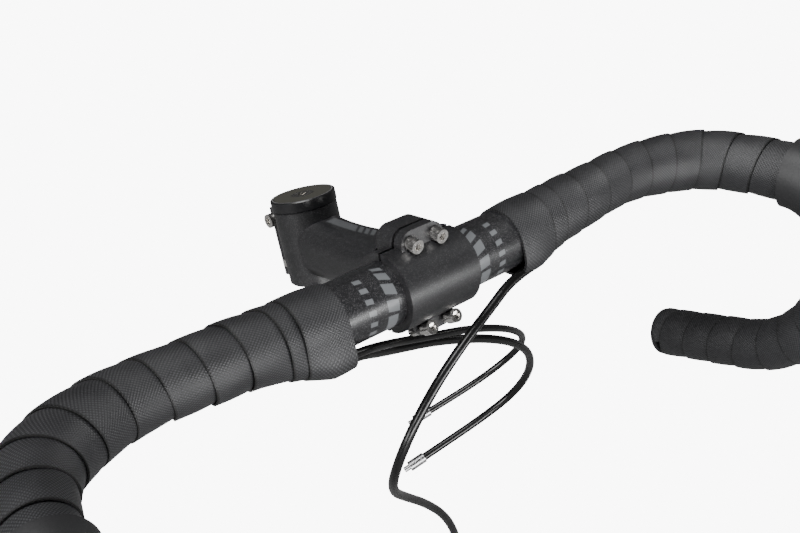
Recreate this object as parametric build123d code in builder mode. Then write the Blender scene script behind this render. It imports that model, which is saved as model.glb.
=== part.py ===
"""Drop handlebar cockpit: handlebar, tape, stem, brake levers with hoods and the free cable casings.

Millimetres. +Z is up on an upright bicycle, -Y is forwards and +X is the rider's left.
The origin is on the steerer axis, half way up the stem's lower clamp band.
"""

from build123d import *
from math import cos, pi, radians, sin, tan
import os

os.makedirs("parts", exist_ok=True)

# ---------------------------------------------------------------- driving dimensions
HEAD_TILT = 18.0  # steerer axis leans back from the vertical, degrees
STEM_LENGTH = 90.0  # steerer axis to bar axis
STEM_RISE = 12.0  # stem above the horizontal, degrees
STEM_HEIGHT = 42.0  # steerer clamp, along the steerer axis
STEERER_R = 14.3  # 28.6 mm steerer
RELIEF_R = 14.9  # bore between the two clamp bands
BAND_LENGTH = 16.0  # each steerer clamp band
BARREL_R = 17.4  # stem's steerer barrel
BAR_R = 15.9  # 31.8 mm bar clamp zone
BORE_GAP = 0.05  # stem and faceplate bore over the bar
CLAMP_R = 20.2  # outside of stem clamp and faceplate
CLAMP_WIDTH = 43.0
SPLIT_GAP = 1.8  # between the stem and the faceplate
GRIP_R = 11.9  # 23.8 mm bar where it is taped
BAR_WALL = 2.0
TAPE_R = 16.2  # outside of the tape on the bends
TAPE_END_R = 18.1  # outside of the tape at its edge beside the stem
TAPE_EDGE_X = 54.0  # tape's edge beside the stem
FIT_GAP = 0.05  # between pieces that sit on each other
BRAKE_CASING_D = 5.0
SHIFT_CASING_D = 4.2

# ---------------------------------------------------------------- axes and planes
STEER = Vector(0, sin(radians(HEAD_TILT)), cos(radians(HEAD_TILT)))
AHEAD = Vector(0, -cos(radians(STEM_RISE)), sin(radians(STEM_RISE)))
ABOVE = Vector(0, sin(radians(STEM_RISE)), cos(radians(STEM_RISE)))
ACROSS = Vector(1, 0, 0)
STEM_MID = STEER * (STEM_HEIGHT / 2 - BAND_LENGTH / 2)  # middle of the steerer clamp
CENTRE = STEM_MID + AHEAD * STEM_LENGTH  # middle of the bar clamp


def from_bar(x, y, z):
    """A point given from the middle of the bar clamp."""
    return CENTRE + Vector(x, y, z)


def steerer_plane(height):
    """A plane across the steerer axis, at a height from the clamp's middle."""
    return Plane(origin=STEM_MID + STEER * height, x_dir=ACROSS, z_dir=STEER)


def stem_plane(along, up=0.0):
    """A plane across the stem, at a distance ahead of the steerer axis; its y runs up."""
    return Plane(origin=STEM_MID + AHEAD * along + ABOVE * up, x_dir=-ACROSS, z_dir=AHEAD)


def side_plane(x):
    """The upright lengthwise plane at x, with its own x forwards and its y up, on the bar centre."""
    return Plane(origin=from_bar(x, 0, 0), x_dir=(0, -1, 0), z_dir=(-1, 0, 0))


# ---------------------------------------------------------------- stem
STEM_TOP = STEM_HEIGHT / 2
CAP_R = 17.8
CAP_HEIGHT = 5.6
CAP_GROOVE = 0.5
CAP_BOLT_R = 6.2
CAP_BOLT_HEAD = 1.6
CAP_BOLT_SHANK_R = 3.0
CAP_BOLT_REACH = 24.0
EAR_WIDTH = 13.0  # half width of the faceplate ears
EAR_CORNER_R = 7.0
EAR_TOP = 28.0  # ear tips above the bar axis
EAR_BOTTOM = 26.0  # and below it
EAR_FACE = 6.4  # front of the faceplate ears, ahead of the bar axis
BOLT_SPREAD = 7.6  # half the distance between the two bolts of a pair
BOLT_UP = 22.2  # bolt seat above the bar axis
BOLT_DOWN = 22.8
UPPER_BOLT_TILT = -10.0  # upper pair leans in towards the bar, degrees
LOWER_BOLT_TILT = 24.0  # lower pair lies in slots that are open below
UPPER_BOLT_REACH = 16.0  # shank behind the seat
LOWER_BOLT_REACH = 9.0
LOWER_BOLT_STAND = 3.4  # the lower heads stand off on bare shank
SCREW_R = 2.5
SCREW_HOLE_R = 2.55
HEAD_R = 3.5
HEAD_LENGTH = 5.8
HEX_R = 2.1
PINCH_HEIGHTS = (13.2, -13.2)  # steerer clamp bolts above and below the clamp's middle
PINCH_BACK = 20.6  # steerer clamp bolts behind the steerer axis
PINCH_HEAD_R = 3.9

with BuildPart() as stem_body:
    with BuildSketch(steerer_plane(-STEM_TOP)):
        Circle(BARREL_R)
    extrude(amount=STEM_HEIGHT)
    chamfer(stem_body.edges().filter_by(GeomType.CIRCLE), 0.8)
    # lengthwise neck, from inside the barrel to the clamp
    with BuildSketch(stem_plane(6, up=-0.5)):
        RectangleRounded(30, 33, 11)
    with BuildSketch(stem_plane(STEM_LENGTH / 2, up=-0.5)):
        RectangleRounded(31, 31, 12)
    with BuildSketch(stem_plane(STEM_LENGTH - 14)):
        RectangleRounded(39, 36, 13)
    loft()
    # bar clamp, with ears above and below
    with BuildSketch(side_plane(-CLAMP_WIDTH / 2)):
        Circle(CLAMP_R)
    extrude(amount=-CLAMP_WIDTH)
    with BuildSketch(stem_plane(STEM_LENGTH - 12.5, up=(EAR_TOP - EAR_BOTTOM) / 2)):
        RectangleRounded(2 * EAR_WIDTH, EAR_TOP + EAR_BOTTOM, EAR_CORNER_R)
    extrude(amount=12.5)
    # pinch ears behind the steerer
    with BuildSketch(steerer_plane(-STEM_TOP + 1.5)):
        with Locations((0, PINCH_BACK - 4)):
            RectangleRounded(19, 17, 4)
    extrude(amount=STEM_HEIGHT - 3)
    # everything ahead of the split goes
    with BuildSketch(stem_plane(STEM_LENGTH - SPLIT_GAP / 2)):
        Rectangle(60, 80)
    extrude(amount=40, mode=Mode.SUBTRACT)
    with BuildSketch(side_plane(-30)):
        Circle(BAR_R + BORE_GAP)
    extrude(amount=-60, mode=Mode.SUBTRACT)
    # steerer bore: two clamp bands with a relief between them
    with BuildSketch(steerer_plane(-STEM_TOP - 5)):
        Circle(STEERER_R)
    extrude(amount=STEM_HEIGHT + 10, mode=Mode.SUBTRACT)
    with BuildSketch(steerer_plane(-STEM_TOP + BAND_LENGTH)):
        Circle(RELIEF_R)
    extrude(amount=STEM_HEIGHT - 2 * BAND_LENGTH, mode=Mode.SUBTRACT)
    # pinch slot and its bolt holes
    with BuildSketch(steerer_plane(-STEM_TOP - 5)):
        with Locations((0, 25)):
            Rectangle(2.4, 28)
    extrude(amount=STEM_HEIGHT + 10, mode=Mode.SUBTRACT)
    for height in PINCH_HEIGHTS:
        pinch = Plane(
            origin=STEM_MID + STEER * height + STEER.cross(ACROSS) * PINCH_BACK,
            x_dir=STEER,
            z_dir=ACROSS,
        )
        with BuildSketch(pinch):
            Circle(SCREW_R)
        extrude(amount=15, both=True, mode=Mode.SUBTRACT)


def bolt_plane(side, upper):
    """Seat of one faceplate bolt: its z runs out of the head, along the bolt."""
    tilt = STEM_RISE + (UPPER_BOLT_TILT if upper else LOWER_BOLT_TILT)
    out = Vector(0, -cos(radians(tilt)), sin(radians(tilt)))
    height = BOLT_UP if upper else -BOLT_DOWN
    seat = CENTRE + ABOVE * height + AHEAD * EAR_FACE + ACROSS * side * BOLT_SPREAD
    return Plane(origin=seat, x_dir=ACROSS, z_dir=out)


BOLT_PLACES = [(side, upper) for upper in (True, False) for side in (-1, 1)]
with BuildPart(mode=Mode.PRIVATE) as bolt_holes:
    for side, upper in BOLT_PLACES:
        reach = UPPER_BOLT_REACH if upper else LOWER_BOLT_REACH
        with BuildSketch(bolt_plane(side, upper).offset(-reach - 0.5)):
            Circle(SCREW_HOLE_R)
        extrude(amount=reach + 20)

with BuildPart() as stem_done:
    add(stem_body.part)
    add(bolt_holes.part, mode=Mode.SUBTRACT)
stem_done.part.label = "stem_body"
export_step(stem_done.part, "parts/stem_body.step")

with BuildPart() as faceplate:
    with BuildSketch(side_plane(-CLAMP_WIDTH / 2)):
        Circle(CLAMP_R)
    extrude(amount=-CLAMP_WIDTH)
    with BuildSketch(stem_plane(STEM_LENGTH, up=(EAR_TOP - EAR_BOTTOM) / 2)):
        RectangleRounded(2 * EAR_WIDTH, EAR_TOP + EAR_BOTTOM, EAR_CORNER_R)
    extrude(amount=EAR_FACE)
    with BuildSketch(stem_plane(STEM_LENGTH + SPLIT_GAP / 2)):
        Rectangle(60, 80)
    extrude(amount=-40, mode=Mode.SUBTRACT)
    with BuildSketch(side_plane(-30)):
        Circle(BAR_R + BORE_GAP)
    extrude(amount=-60, mode=Mode.SUBTRACT)
    # flats for the bolt heads
    for side, upper in BOLT_PLACES:
        with BuildSketch(bolt_plane(side, upper)):
            Circle(HEAD_R + 0.5)
        extrude(amount=20, mode=Mode.SUBTRACT)
    add(bolt_holes.part, mode=Mode.SUBTRACT)
faceplate.part.label = "faceplate"
export_step(faceplate.part, "parts/faceplate.step")

with BuildPart() as faceplate_bolts:
    for side, upper in BOLT_PLACES:
        reach, stand = (UPPER_BOLT_REACH, 0.0) if upper else (LOWER_BOLT_REACH, LOWER_BOLT_STAND)
        seat = bolt_plane(side, upper)
        with BuildSketch(seat.offset(-reach)):
            Circle(SCREW_R)
        extrude(amount=reach + stand)
        with BuildSketch(seat.offset(stand)):
            Circle(HEAD_R)
        extrude(amount=HEAD_LENGTH)
        with BuildSketch(seat.offset(stand + HEAD_LENGTH - 2.6)):
            RegularPolygon(HEX_R, 6)
        extrude(amount=4, mode=Mode.SUBTRACT)
faceplate_bolts.part.label = "faceplate_bolts"
export_step(faceplate_bolts.part, "parts/faceplate_bolts.step")

with BuildPart() as steerer_clamp_bolts:
    for height, side in zip(PINCH_HEIGHTS, (-1, 1)):
        middle = STEM_MID + STEER * height + STEER.cross(ACROSS) * PINCH_BACK
        shank = Plane(origin=middle, x_dir=STEER, z_dir=ACROSS * side)
        with BuildSketch(shank.offset(-9)):
            Circle(SCREW_R)
        extrude(amount=18.5)
        with BuildSketch(shank.offset(9.5)):
            Circle(PINCH_HEAD_R)
        extrude(amount=3.6)
        with BuildSketch(shank.offset(10.9)):
            RegularPolygon(HEX_R, 6)
        extrude(amount=4, mode=Mode.SUBTRACT)
steerer_clamp_bolts.part.label = "steerer_clamp_bolts"
export_step(steerer_clamp_bolts.part, "parts/steerer_clamp_bolts.step")

with BuildPart() as top_cap:
    with BuildSketch(steerer_plane(STEM_TOP)):
        Circle(CAP_R)
    extrude(amount=CAP_HEIGHT)
    chamfer(top_cap.edges().filter_by(GeomType.CIRCLE).sort_by(SortBy.DISTANCE)[-1:], CAP_GROOVE)
    with BuildSketch(steerer_plane(STEM_TOP)):
        Circle(STEERER_R - 0.6)
    extrude(amount=-3.0)
    with BuildSketch(steerer_plane(STEM_TOP + CAP_HEIGHT)):
        Circle(CAP_BOLT_R + FIT_GAP)
    extrude(amount=-CAP_BOLT_HEAD, mode=Mode.SUBTRACT)
    with BuildSketch(steerer_plane(STEM_TOP + CAP_HEIGHT)):
        Circle(CAP_BOLT_SHANK_R + FIT_GAP)
    extrude(amount=-20, mode=Mode.SUBTRACT)
top_cap.part.label = "top_cap"
export_step(top_cap.part, "parts/top_cap.step")

with BuildPart() as top_cap_bolt:
    with BuildSketch(steerer_plane(STEM_TOP + CAP_HEIGHT - CAP_BOLT_HEAD)):
        Circle(CAP_BOLT_R)
    extrude(amount=CAP_BOLT_HEAD)
    with BuildSketch(steerer_plane(STEM_TOP + CAP_HEIGHT - CAP_BOLT_HEAD)):
        Circle(CAP_BOLT_SHANK_R)
    extrude(amount=-CAP_BOLT_REACH)
    with BuildSketch(steerer_plane(STEM_TOP + CAP_HEIGHT - 3.0)):
        RegularPolygon(2.6, 6)
    extrude(amount=6, mode=Mode.SUBTRACT)
top_cap_bolt.part.label = "top_cap_bolt"
export_step(top_cap_bolt.part, "parts/top_cap_bolt.step")

# ---------------------------------------------------------------- handlebar
# Half of the bar's centre line, from the middle of the clamp: (x, y, z) of each corner and its bend radius.
RISE_START = (60.0, 0.0, 0.0)
BEND_POINTS = [(160.0, 3.0, 4.6), (200.5, -17.0, 7.6), (212.5, -52.0, 10.8)]
BEND_RADII = [88.0, 46.0, 120.0]
HOOK_TOP = (219.0, -104.0, 14.5)  # corners of the drop, seen from the side
HOOK_FRONT = (221.0, -104.0, -94.0)
BAR_END = (223.0, -1.0, -134.5)
HOOK_TOP_R = 36.0
HOOK_FRONT_R = 74.0
RISE_R = 150.0
CONE_START_X = 66.0  # the 31.8 mm zone narrows from here
CONE_END_X = 100.0
PLUG_LIP = 3.2
PLUG_R = 15.4
DROP_TAPE_TOP = -30.0  # top of the lower stretch of tape, from the bar axis


def between(a, b, share):
    """The point a share of the way from a to b."""
    return tuple(u + (v - u) * share for u, v in zip(a, b))


TAPER_START = between(RISE_START, BEND_POINTS[0], (CONE_START_X - 60) / 100)
TAPER_END = between(RISE_START, BEND_POINTS[0], (CONE_END_X - 60) / 100)
DROP_POINT = between(HOOK_TOP, HOOK_FRONT, (HOOK_TOP[2] - DROP_TAPE_TOP) / (HOOK_TOP[2] - HOOK_FRONT[2]))


def bar_plane(point, ahead):
    """A plane across the bar's centre line at a point, facing the next one."""
    here = from_bar(*point)
    return Plane(origin=here, x_dir=(0, 0, 1), z_dir=from_bar(*ahead) - here)


def path_sweep(points, radii, radius):
    """A round bar of one radius along straight runs with rounded corners, as a separate solid."""
    with BuildPart(mode=Mode.PRIVATE) as rod:
        with BuildLine():
            FilletPolyline(*[from_bar(*point) for point in points], radius=radii)
        with BuildSketch(bar_plane(points[0], points[1])):
            Circle(radius)
        sweep()
    return rod.part


def bar_core(shrink):
    """Half of the bar as a solid rod, all round smaller by shrink."""
    full, thin = BAR_R - shrink, GRIP_R - shrink
    with BuildPart(mode=Mode.PRIVATE) as core:
        with BuildLine():
            FilletPolyline(
                from_bar(0, 0, 0), from_bar(*RISE_START), from_bar(*TAPER_START), radius=RISE_R
            )
        with BuildSketch(Plane(origin=CENTRE, x_dir=(0, 0, 1), z_dir=ACROSS)):
            Circle(full)
        sweep()
        start = bar_plane(TAPER_START, TAPER_END)
        length = (from_bar(*TAPER_END) - from_bar(*TAPER_START)).length
        with BuildSketch(start):
            Circle(full)
        with BuildSketch(start.offset(length)):
            Circle(thin)
        loft()
        add(
            path_sweep(
                [TAPER_END, *BEND_POINTS, HOOK_TOP, HOOK_FRONT, BAR_END],
                [*BEND_RADII, HOOK_TOP_R, HOOK_FRONT_R],
                thin,
            )
        )
    return core.part


with BuildPart() as handlebar_tube:
    add(bar_core(0))
    add(bar_core(BAR_WALL), mode=Mode.SUBTRACT)
    mirror(about=Plane.YZ)
handlebar_tube.part.label = "handlebar_tube"
export_step(handlebar_tube.part, "parts/handlebar_tube.step")


# ---------------------------------------------------------------- casings: routes from the bar centre
FRONT_BRAKE_ROUTE = [
    (68.0, -16.6, -9.6),
    (48.0, -17.0, -11.0),
    (27.0, -21.0, -20.5),
    (7.0, -25.0, -28.0),
    (-14.0, -28.0, -42.0),
    (-31.0, -30.0, -60.0),
    (-40.0, -28.5, -82.0),
    (-33.0, -18.5, -106.0),
    (-14.0, -6.5, -131.0),
    (8.0, 1.5, -156.0),
    (27.0, 5.0, -181.0),
    (40.0, 8.0, -209.0),
    (46.0, 12.0, -236.0),
    (47.5, 15.0, -258.0),
]
SHIFT_ROUTE = [
    (-68.0, -16.6, -9.6),
    (-48.0, -15.2, -12.2),
    (-30.0, -8.0, -21.5),
    (-11.0, -1.5, -31.5),
    (10.0, 1.0, -39.8),
    (32.0, 2.5, -47.0),
    (56.0, 5.0, -58.0),
    (79.0, 9.5, -72.0),
    (99.0, 17.5, -90.5),
    (106.0, 28.0, -110.0),
    (95.0, 38.5, -127.5),
    (76.0, 46.5, -139.5),
    (56.0, 52.5, -147.5),
]
REAR_BRAKE_ROUTE = [
    (-68.0, -12.4, -14.7),
    (-48.0, -11.0, -17.0),
    (-29.0, -4.0, -28.5),
    (-9.0, 2.5, -39.0),
    (13.0, 5.5, -47.5),
    (36.0, 7.5, -57.5),
    (60.0, 8.5, -69.0),
    (83.0, 10.0, -83.5),
    (103.0, 15.0, -104.0),
    (114.0, 24.0, -129.0),
    (112.0, 34.5, -152.0),
    (95.0, 43.5, -168.0),
    (74.0, 50.0, -178.5),
    (54.0, 54.5, -186.0),
]
FERRULE_WALL = 0.8
FERRULE_LENGTH = 11.0
FERRULE_TIP = 4.0


def corner_radii(route):
    """The largest even bends that the route's runs leave room for."""
    spots = [Vector(*point) for point in route]
    radii = []
    for before, here, after in zip(spots, spots[1:], spots[2:]):
        into, out = here - before, after - here
        half_turn = radians(into.get_angle(out)) / 2
        radii.append(0.45 * min(into.length, out.length) / tan(half_turn))
    return radii


def casing(label, route, diameter):
    """One cable casing as a round tube's solid, with its volume checked against its length."""
    radii = corner_radii(route)
    with BuildPart() as tube:
        with BuildLine() as run:
            FilletPolyline(*[from_bar(*point) for point in route], radius=radii)
        with BuildSketch(bar_plane(route[0], route[1])):
            Circle(diameter / 2)
        sweep()
    length = sum(edge.length for edge in run.edges())
    share = tube.part.volume / (pi * diameter**2 / 4 * length)
    print(label, "length", round(length, 1), "volume share", round(share, 4))
    print("  bend radii", [round(radius, 1) for radius in radii])
    tube.part.label = label
    export_step(tube.part, f"parts/{label}.step")
    return tube.part


def ferrule(label, route, diameter):
    """The metal end cap of a casing, with the thin nose that seats in a frame port."""
    last, before = from_bar(*route[-1]), from_bar(*route[-2])
    start = Plane(origin=last, x_dir=(last - before).cross(Vector(1, 0, 0)), z_dir=last - before)
    with BuildPart() as cap:
        with BuildSketch(start):
            Circle(diameter / 2 + FERRULE_WALL)
        extrude(amount=FERRULE_LENGTH)
        with BuildSketch(start.offset(FERRULE_LENGTH)):
            Circle(diameter / 2 - 0.7)
        extrude(amount=FERRULE_TIP)
    cap.part.label = label
    export_step(cap.part, f"parts/{label}.step")


CASINGS = {
    "front_brake": (FRONT_BRAKE_ROUTE, BRAKE_CASING_D),
    "rear_shift": (SHIFT_ROUTE, SHIFT_CASING_D),
    "rear_brake": (REAR_BRAKE_ROUTE, BRAKE_CASING_D),
}
casings = {}
for use, (route, diameter) in CASINGS.items():
    casings[use] = casing(f"{use}_casing", route, diameter)
    ferrule(f"{use}_ferrule", route, diameter)

# ---------------------------------------------------------------- bar tape
TAPE_COVER = 1.9  # tape over a casing
TUNNEL_LENGTH = 26.0  # how far the casings lie under the tape
HOOD_WINDOW = (60.0, 58.0, 70.0)  # the tape stops here, under the hood
WINDOW_MIDDLE = (220.0, -105.0, 5.0)


def tape_sleeve(side, uses):
    """Tape on one side as a plain sleeve, with a tunnel for each casing that leaves it."""
    with BuildPart(mode=Mode.PRIVATE) as half:
        edge = (TAPE_EDGE_X, 0.0, 0.0)
        start = bar_plane(edge, TAPER_END)
        length = (from_bar(*TAPER_END) - from_bar(*edge)).length
        with BuildSketch(start):
            Circle(TAPE_END_R)
        with BuildSketch(start.offset(length)):
            Circle(TAPE_R)
        loft()
        add(
            path_sweep(
                [TAPER_END, *BEND_POINTS, HOOK_TOP, HOOK_FRONT, BAR_END],
                [*BEND_RADII, HOOK_TOP_R, HOOK_FRONT_R],
                TAPE_R,
            )
        )
    core = bar_core(-FIT_GAP)
    with BuildPart(mode=Mode.PRIVATE) as sleeve:
        if side > 0:
            add(half.part)
        else:
            mirror(half.part, about=Plane.YZ)
        for use in uses:
            (x, y, z), diameter = CASINGS[use][0][0], CASINGS[use][1]
            edge_middle = from_bar(side * TAPE_EDGE_X, y, z)
            with BuildSketch(Plane(origin=edge_middle, x_dir=(0, 0, 1), z_dir=ACROSS * side)):
                Circle(diameter / 2 + TAPE_COVER)
            extrude(amount=TUNNEL_LENGTH)
        if side > 0:
            add(core, mode=Mode.SUBTRACT)
        else:
            mirror(core, about=Plane.YZ, mode=Mode.SUBTRACT)
        with Locations(from_bar(side * WINDOW_MIDDLE[0], *WINDOW_MIDDLE[1:])):
            Box(*HOOD_WINDOW, mode=Mode.SUBTRACT)
        for use in uses:
            add(casings[use], mode=Mode.SUBTRACT)
    return sleeve.part


for label, side, uses in (
    ("bar_tape_left", 1, ["front_brake"]),
    ("bar_tape_right", -1, ["rear_shift", "rear_brake"]),
):
    with BuildPart() as bar_tape:
        add(tape_sleeve(side, uses))
    bar_tape.part.label = label
    export_step(bar_tape.part, f"parts/{label}.step")

# ---------------------------------------------------------------- bar end plugs
PLUG_STEM_R = 9.7
PLUG_DEPTH = 18.0

with BuildPart() as plug_left:
    end = bar_plane(BAR_END, between(BAR_END, HOOK_FRONT, -1))
    with BuildSketch(end):
        Circle(PLUG_R)
    extrude(amount=PLUG_LIP)
    fillet(plug_left.edges().filter_by(GeomType.CIRCLE).group_by(SortBy.DISTANCE)[0], 1.4)
    with BuildSketch(end):
        Circle(PLUG_STEM_R)
    extrude(amount=-PLUG_DEPTH)
    with BuildSketch(end.offset(-PLUG_DEPTH)):
        Circle(PLUG_STEM_R - 2.4)
    extrude(amount=PLUG_DEPTH - 3, mode=Mode.SUBTRACT)

# ---------------------------------------------------------------- brake levers, built for the left side
HOOD_X = 219.5
HOOD_SECTIONS = [  # y ahead of the bar axis, middle height, width, height, corner radius
    (-88.0, 12.0, 40.0, 46.0, 18.5),
    (-116.0, 14.0, 37.0, 46.0, 17.0),
    (-132.0, 25.0, 35.0, 68.0, 16.0),
    (-148.0, 40.0, 32.0, 98.0, 14.5),
    (-168.0, 48.5, 29.0, 113.0, 13.0),
    (-190.0, 61.0, 21.0, 78.0, 9.5),
]
HOOD_WALL = 2.6
BRACKET_START_Y = -100.0
BRACKET_END_Y = -187.0
HOOD_R = 19.4  # hood where it wraps the bar
HOOD_EDGE = 0.25  # hood's rear edge, as a share of the ramp
HOLLOW_R = 16.45  # inside the hood, over the tape
BAND_R = 12.4  # clamp band over the bar, at its middle
BAND_WALL = 1.1
BAND_WIDTH = 10.0
BAND_INNER_R = 12.2
BAND_BOLT_R = 2.4
BAND_BOLT_LENGTH = 15.0
PIVOT_Y = -170.0
PIVOT_Z = 7.0
PIVOT_R = 2.5
RUNNING_GAP = 0.06
SLOT_HALF = 7.2  # bracket slot for the lever
LEVER_HALF = 6.8
LEVER_BOSS_R = 6.5
LEVER_EDGE = 1.6  # rounding of the blade
PIVOT_LENGTH = 21.6


def hood_loft(inset, start, end):
    """The lever body's outer shape, all round smaller by inset, between two stations."""
    with BuildPart(mode=Mode.PRIVATE) as body:
        for index, (y, z, width, height, corner) in enumerate(HOOD_SECTIONS):
            station = start if index == 0 else end if index == len(HOOD_SECTIONS) - 1 else y
            across = Plane(origin=from_bar(HOOD_X, station, z), x_dir=ACROSS, z_dir=(0, -1, 0))
            with BuildSketch(across):
                RectangleRounded(width - 2 * inset, height - 2 * inset, corner - inset)
        loft()
    return body.part


def lever_slot(half_width, low, high):
    """Room for the lever and its swing, open below and ahead."""
    with BuildPart(mode=Mode.PRIVATE) as slot:
        with BuildSketch(side_plane(HOOD_X)):
            with Locations((181, (low + high) / 2)):
                Rectangle(58, high - low)
        extrude(amount=half_width, both=True)
    return slot.part


pivot_plane = Plane(origin=from_bar(HOOD_X, PIVOT_Y, PIVOT_Z), x_dir=(0, 0, 1), z_dir=ACROSS)
hook_back = (Vector(*BEND_POINTS[-1]) - Vector(*HOOK_TOP)).normalized()
hook_down = (Vector(*HOOK_FRONT) - Vector(*HOOK_TOP)).normalized()
hook_in = (hook_back + hook_down).normalized()
hook_half = radians(hook_back.get_angle(hook_down) / 2)
band_middle = from_bar(*HOOK_TOP) + hook_in * HOOK_TOP_R * (1 / sin(hook_half) - 1)
band_plane = Plane(origin=band_middle, x_dir=hook_in, z_dir=hook_down - hook_back)
bolt_out = Plane(origin=band_middle, x_dir=ACROSS, z_dir=-hook_in)
bend_path = [between(BEND_POINTS[-1], HOOK_TOP, HOOD_EDGE), HOOK_TOP, DROP_POINT]

with BuildPart() as band_left:
    with BuildSketch(band_plane):
        Circle(BAND_R + BAND_WALL)
        Circle(BAND_INNER_R, mode=Mode.SUBTRACT)
    extrude(amount=BAND_WIDTH / 2, both=True)
    add(path_sweep(bend_path, [HOOK_TOP_R], GRIP_R + FIT_GAP), mode=Mode.SUBTRACT)

with BuildPart() as band_bolt_left:
    with BuildSketch(bolt_out.offset(BAND_R + BAND_WALL)):
        Circle(BAND_BOLT_R)
    extrude(amount=BAND_BOLT_LENGTH)

with BuildPart() as bracket_left:
    add(hood_loft(HOOD_WALL, BRACKET_START_Y, BRACKET_END_Y))
    add(path_sweep(bend_path, [HOOK_TOP_R], GRIP_R + FIT_GAP), mode=Mode.SUBTRACT)
    with BuildSketch(band_plane):
        Circle(BAND_R + BAND_WALL + FIT_GAP)
    extrude(amount=BAND_WIDTH / 2 + 0.3, both=True, mode=Mode.SUBTRACT)
    add(band_bolt_left.part, mode=Mode.SUBTRACT)
    add(lever_slot(SLOT_HALF, -40, 17), mode=Mode.SUBTRACT)
    with BuildSketch(pivot_plane):
        Circle(PIVOT_R)
    extrude(amount=PIVOT_LENGTH / 2, both=True, mode=Mode.SUBTRACT)

with BuildPart() as hood_left:
    add(hood_loft(0, HOOD_SECTIONS[0][0], HOOD_SECTIONS[-1][0]))
    add(path_sweep(bend_path, [HOOK_TOP_R], HOOD_R))
    add(hood_loft(HOOD_WALL, BRACKET_START_Y, BRACKET_END_Y), mode=Mode.SUBTRACT)
    add(path_sweep(bend_path, [HOOK_TOP_R], HOLLOW_R), mode=Mode.SUBTRACT)
    add(lever_slot(SLOT_HALF + 1, -41, 18), mode=Mode.SUBTRACT)

with BuildPart() as pivot_left:
    with BuildSketch(pivot_plane):
        Circle(PIVOT_R)
    extrude(amount=PIVOT_LENGTH / 2, both=True)

with BuildPart() as lever_left:
    with BuildSketch(side_plane(HOOD_X)):
        with BuildLine():
            ThreePointArc((175.5, 10.0), (191.5, -45.0), (177.0, -106.5))
            ThreePointArc((177.0, -106.5), (173.3, -110.3), (169.6, -106.5))
            ThreePointArc((169.6, -106.5), (182.5, -45.0), (164.5, 3.0))
            Line((164.5, 3.0), (175.5, 10.0))
        make_face()
    extrude(amount=LEVER_HALF - 0.8, both=True)
    fillet([edge for edge in lever_left.edges().filter_by(Plane.YZ) if edge.length > 50], LEVER_EDGE)
    with BuildSketch(pivot_plane):
        Circle(LEVER_BOSS_R)
    extrude(amount=LEVER_HALF, both=True)
    with BuildSketch(pivot_plane):
        Circle(PIVOT_R + RUNNING_GAP)
    extrude(amount=20, both=True, mode=Mode.SUBTRACT)

# ---------------------------------------------------------------- shift paddle, on the right lever only
PADDLE_PIN_R = 1.5
PADDLE_BARREL_R = 3.2
PADDLE_PIN_LOW = (0.0, -175.6, -39.5)
PADDLE_PIN_HIGH = (0.0, -167.0, -11.5)
LUG_LENGTH = 3.6
pin_low = from_bar(HOOD_X, *PADDLE_PIN_LOW[1:])
pin_high = from_bar(HOOD_X, *PADDLE_PIN_HIGH[1:])
pin_plane = Plane(origin=pin_low, x_dir=ACROSS, z_dir=pin_high - pin_low)
PIN_LENGTH = (pin_high - pin_low).length

with BuildPart() as lever_lugs:
    for start in (0.0, PIN_LENGTH - LUG_LENGTH):
        with BuildSketch(pin_plane.offset(start)):
            Circle(PADDLE_BARREL_R)
            with Locations((0, -4.5 if pin_plane.y_dir.Y > 0 else 4.5)):
                Rectangle(2 * PADDLE_BARREL_R, 9)
        extrude(amount=LUG_LENGTH)

with BuildPart() as lever_with_lugs:
    add(lever_left.part)
    add(lever_lugs.part)
    with BuildSketch(pin_plane):
        Circle(PADDLE_PIN_R)
    extrude(amount=PIN_LENGTH, mode=Mode.SUBTRACT)

with BuildPart() as paddle_pin:
    with BuildSketch(pin_plane):
        Circle(PADDLE_PIN_R)
    extrude(amount=PIN_LENGTH)

with BuildPart() as paddle:
    with BuildSketch(pin_plane.offset(LUG_LENGTH + 0.4)):
        Circle(PADDLE_BARREL_R)
    extrude(amount=PIN_LENGTH - 2 * LUG_LENGTH - 0.8)
    with BuildSketch(side_plane(HOOD_X)):
        with BuildLine():
            Polyline((168.6, -18.0), (172.4, -30.5), (167.8, -34.5), (168.5, -43.0), (173.5, -53.0))
            ThreePointArc((173.5, -53.0), (174.6, -64.0), (171.5, -75.0))
            ThreePointArc((171.5, -75.0), (166.0, -80.0), (161.0, -75.5))
            ThreePointArc((161.0, -75.5), (157.0, -52.0), (160.5, -28.0))
            Line((160.5, -28.0), (168.6, -18.0))
        make_face()
    extrude(amount=1.3, both=True)
    with BuildSketch(pin_plane):
        Circle(PADDLE_PIN_R + RUNNING_GAP)
    extrude(amount=PIN_LENGTH, mode=Mode.SUBTRACT)

# ---------------------------------------------------------------- both sides
HAND_PARTS = {
    "end_plug": (plug_left.part, plug_left.part),
    "lever_bracket": (bracket_left.part, bracket_left.part),
    "bracket_band": (band_left.part, band_left.part),
    "band_bolt": (band_bolt_left.part, band_bolt_left.part),
    "hood": (hood_left.part, hood_left.part),
    "lever_pivot": (pivot_left.part, pivot_left.part),
    "brake_lever": (lever_left.part, lever_with_lugs.part),
    "shift_paddle": (None, paddle.part),
    "paddle_pin": (None, paddle_pin.part),
}
for name, (left, right) in HAND_PARTS.items():
    for side, shape in (("left", left), ("right", right)):
        if shape is None:
            continue
        with BuildPart() as piece:
            if side == "left":
                add(shape)
            else:
                mirror(shape, about=Plane.YZ)
        piece.part.label = f"{name}_{side}"
        export_step(piece.part, f"parts/{name}_{side}.step")
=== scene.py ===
"""Drop handlebar cockpit: wound tape, free casings and finishes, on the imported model's frame."""

import math

import bpy
import numpy as np
from mathutils import Matrix, Vector


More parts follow.
